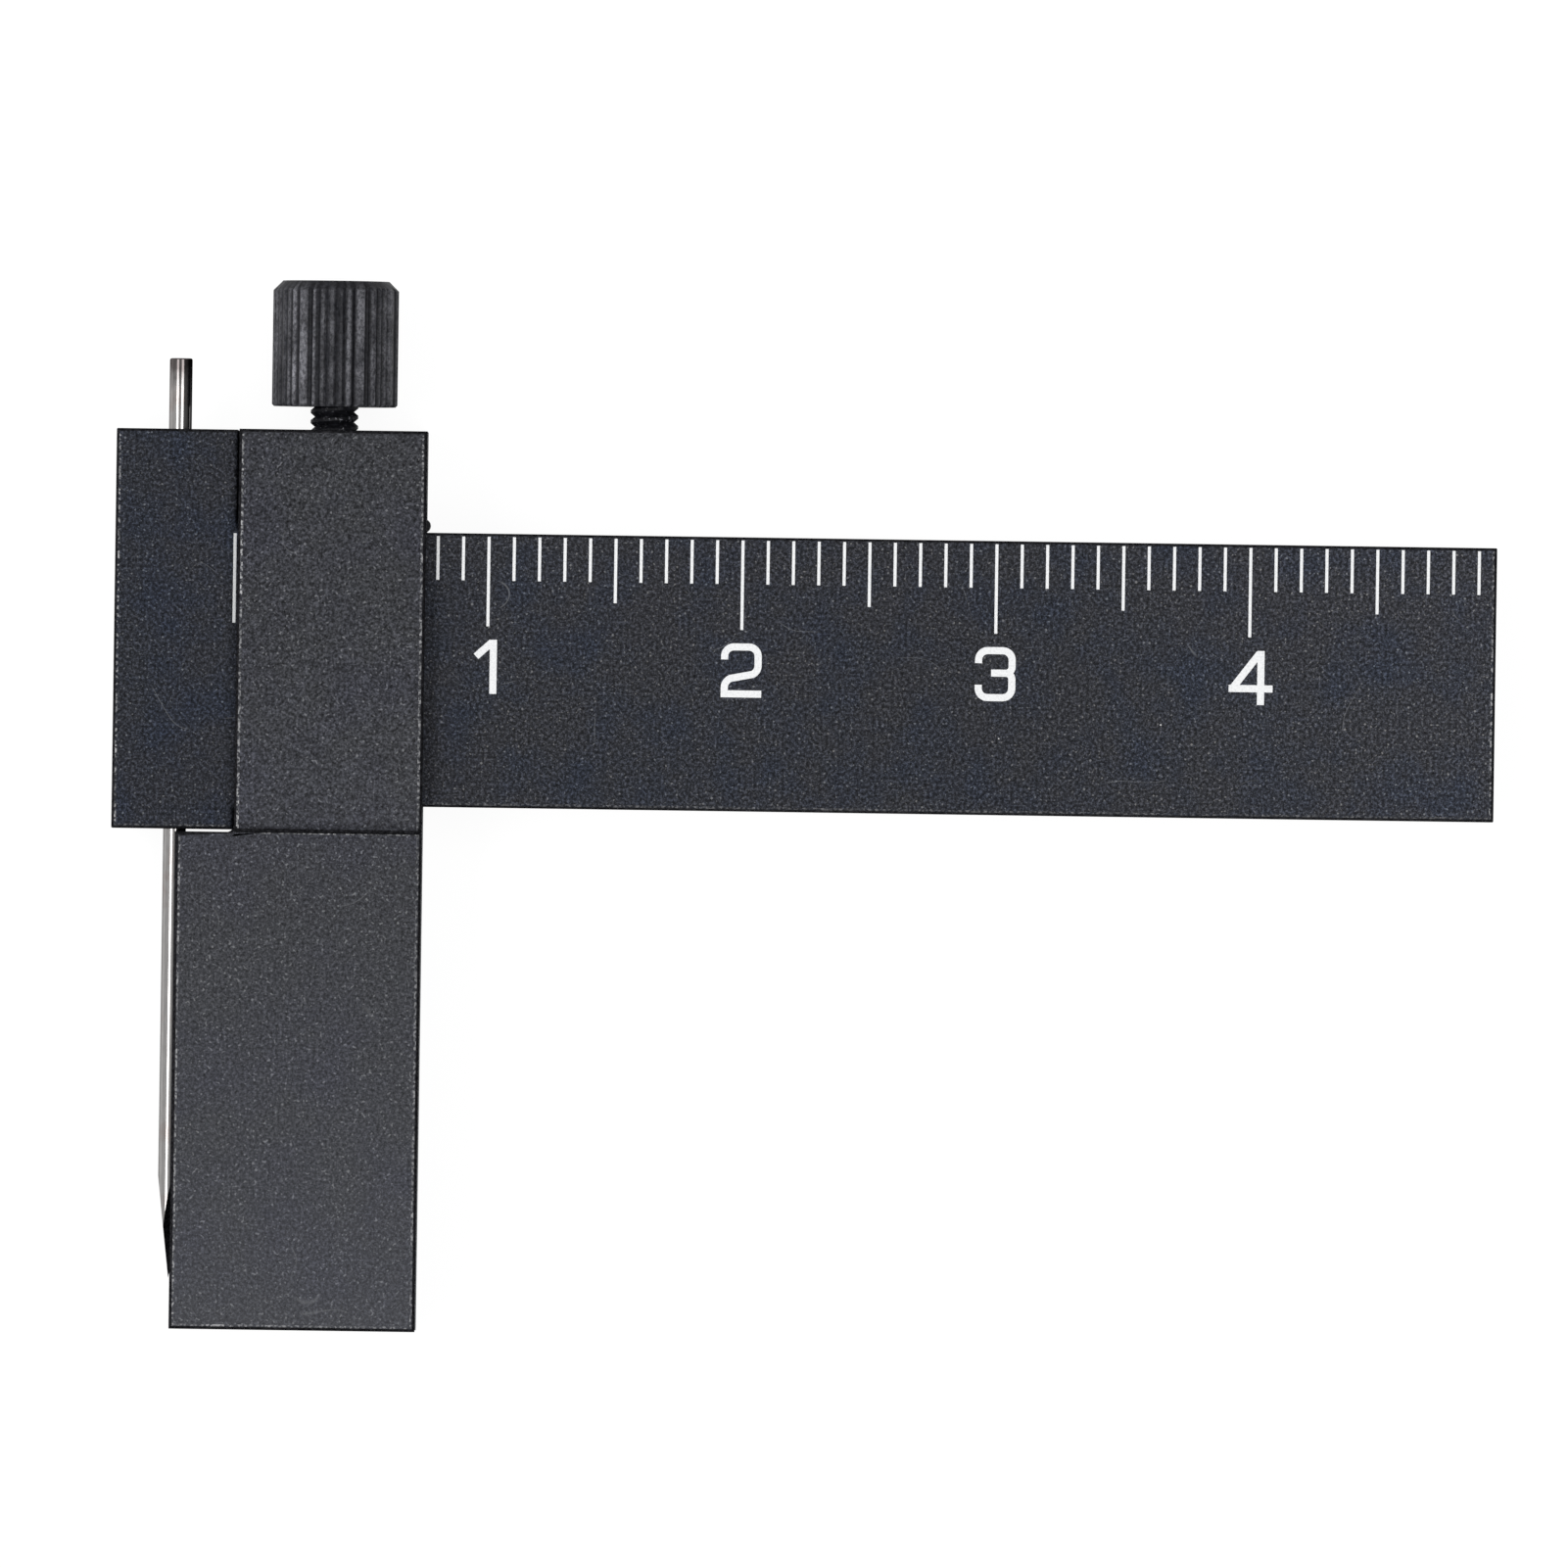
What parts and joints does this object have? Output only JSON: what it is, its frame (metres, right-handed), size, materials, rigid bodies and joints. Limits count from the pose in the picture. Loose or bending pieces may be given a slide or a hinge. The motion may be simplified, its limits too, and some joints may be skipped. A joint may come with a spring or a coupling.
{
  "type": "parallel scribing ruler",
  "caption": "Small T-shaped scale with a scriber needle in its head and a clamped slider with a deep fence, for scribing lines parallel to an edge.",
  "frame": {"origin": "middle of the box around the part, at the level that the slider lies on", "axes": "+X along the beam to its free end, +Y from the end of the fence towards the thumb screw, +Z out of the graduated face; the part lies flat on its back"},
  "size_m": [0.0544, 0.0414, 0.006],
  "materials": {
    "black_blue_anodised": "matte",
    "black_grey_anodised": "matte",
    "white_fill": "matte",
    "ground_steel": "polished",
    "black_oxide_steel": "satin"
  },
  "bodies": {
    "ruler": {"ruler_plate": "black_blue_anodised", "marks_millimetre": "white_fill", "marks_five": "white_fill", "marks_centimetre": "white_fill", "scale_numerals": "white_fill"},
    "set_screw": {"needle_set_screw": "black_oxide_steel"},
    "needle": {"scriber_needle": "ground_steel"},
    "slider": {"slider_body": "black_grey_anodised"},
    "gib": {"clamp_gib": "black_oxide_steel"},
    "thumb_screw": {"clamp_screw": "black_oxide_steel"}
  },
  "joints": [
    {"name": "slider_slide", "type": "slide", "parent": "ruler", "child": "slider", "axis": [1, 0, 0], "range_m": [0, 0.042]},
    {"name": "gib_lift", "type": "slide", "parent": "slider", "child": "gib", "axis": [0, 1, 0], "range_m": [0, 0.0006]},
    {"name": "clamp_turn", "type": "hinge", "parent": "gib", "child": "thumb_screw", "pos_m": [-0.01867, 0.01572, 0.003], "axis": [0, 1, 0], "range_deg": [0, 540]},
    {"name": "needle_slide", "type": "slide", "parent": "ruler", "child": "needle", "axis": [0, 1, 0], "range_m": [-0.0028, 0.01]},
    {"name": "set_screw_turn", "type": "hinge", "parent": "ruler", "child": "set_screw", "pos_m": [-0.0262, 0.0069, 0.003], "axis": [-1, 0, 0], "range_deg": [0, 180]}
  ],
  "couplings": [
    {"joint": "clamp_turn", "follows": "gib_lift", "rad_per_m": 15708}
  ]
}
